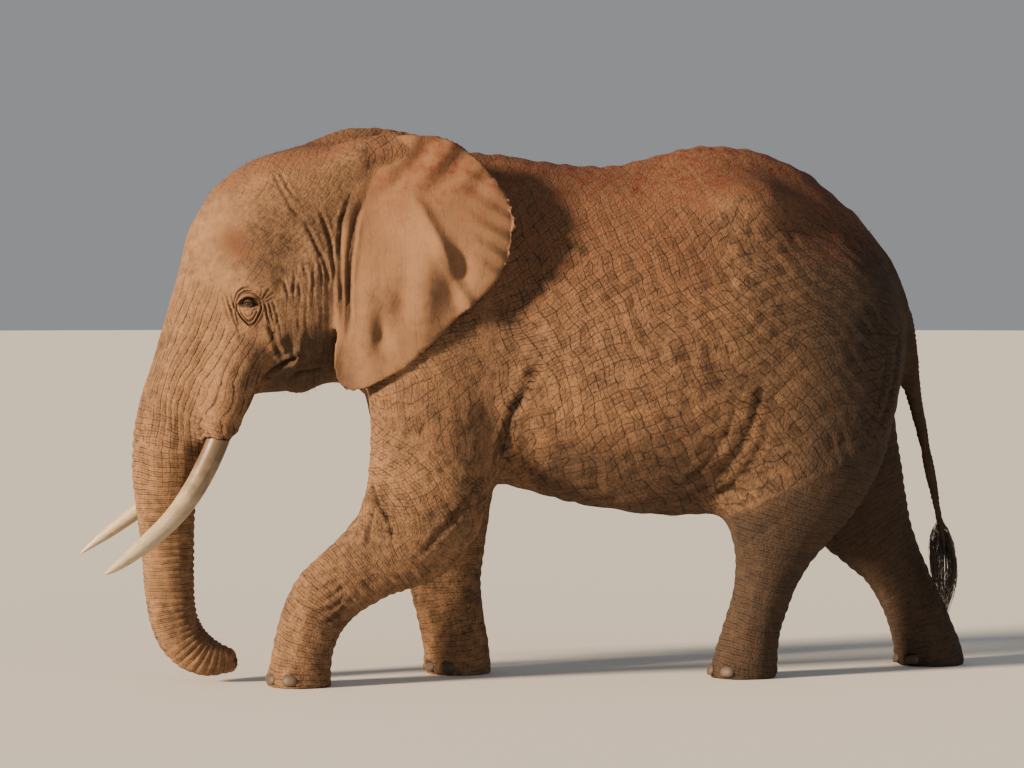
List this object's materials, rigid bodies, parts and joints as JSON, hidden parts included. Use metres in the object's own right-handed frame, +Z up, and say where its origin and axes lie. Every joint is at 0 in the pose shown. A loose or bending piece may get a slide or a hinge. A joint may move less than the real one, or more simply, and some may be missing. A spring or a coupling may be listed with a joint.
{
  "type": "elephant",
  "caption": "Life-size still model of an adult African bush elephant walking with head low, trunk hanging with its tip curled back, slender tusks and ears laid back.",
  "frame": {"origin": "the middle of the box round the whole animal in plan, on the floor that the soles stand on", "axes": "+X from the tusks to the tail (the animal faces -X), +Y to its right, +Z up"},
  "size_m": [4.405, 1.1866, 2.6686],
  "materials": {
    "hide": "dry, deeply wrinkled hide dusted with red-brown earth, matt",
    "ear_hide": "thinner, smoother dusty hide with soft folds, matt",
    "ivory": "weathered ivory, cream to grey-brown, satin",
    "toenail": "worn horn with dust, dull",
    "eye": "dark amber-brown, wet gloss",
    "tail_hair": "coarse black-brown bristle hair, low sheen"
  },
  "bodies": {
    "root": {"barrel": "hide", "chest": "hide", "ear_left": "ear_hide", "ear_right": "ear_hide", "eye_left": "eye", "eye_right": "eye", "foreleg_left_lower": "hide", "foreleg_left_upper": "hide", "foreleg_right_lower": "hide", "foreleg_right_upper": "hide", "head": "hide", "hindleg_left_lower": "hide", "hindleg_left_upper": "hide", "hindleg_right_lower": "hide", "hindleg_right_upper": "hide", "hindquarters": "hide", "neck": "hide", "tail_lower": "hide", "tail_tuft": "tail_hair", "tail_upper": "hide", "toenail_foreleg_left_1": "toenail", "toenail_foreleg_left_2": "toenail", "toenail_foreleg_left_3": "toenail", "toenail_foreleg_left_4": "toenail", "toenail_foreleg_right_1": "toenail", "toenail_foreleg_right_2": "toenail", "toenail_foreleg_right_3": "toenail", "toenail_foreleg_right_4": "toenail", "toenail_hindleg_left_1": "toenail", "toenail_hindleg_left_2": "toenail", "toenail_hindleg_left_3": "toenail", "toenail_hindleg_right_1": "toenail", "toenail_hindleg_right_2": "toenail", "toenail_hindleg_right_3": "toenail", "trunk_middle": "hide", "trunk_tip": "hide", "trunk_upper": "hide", "tusk_left": "ivory", "tusk_right": "ivory"}
  },
  "joints": []
}
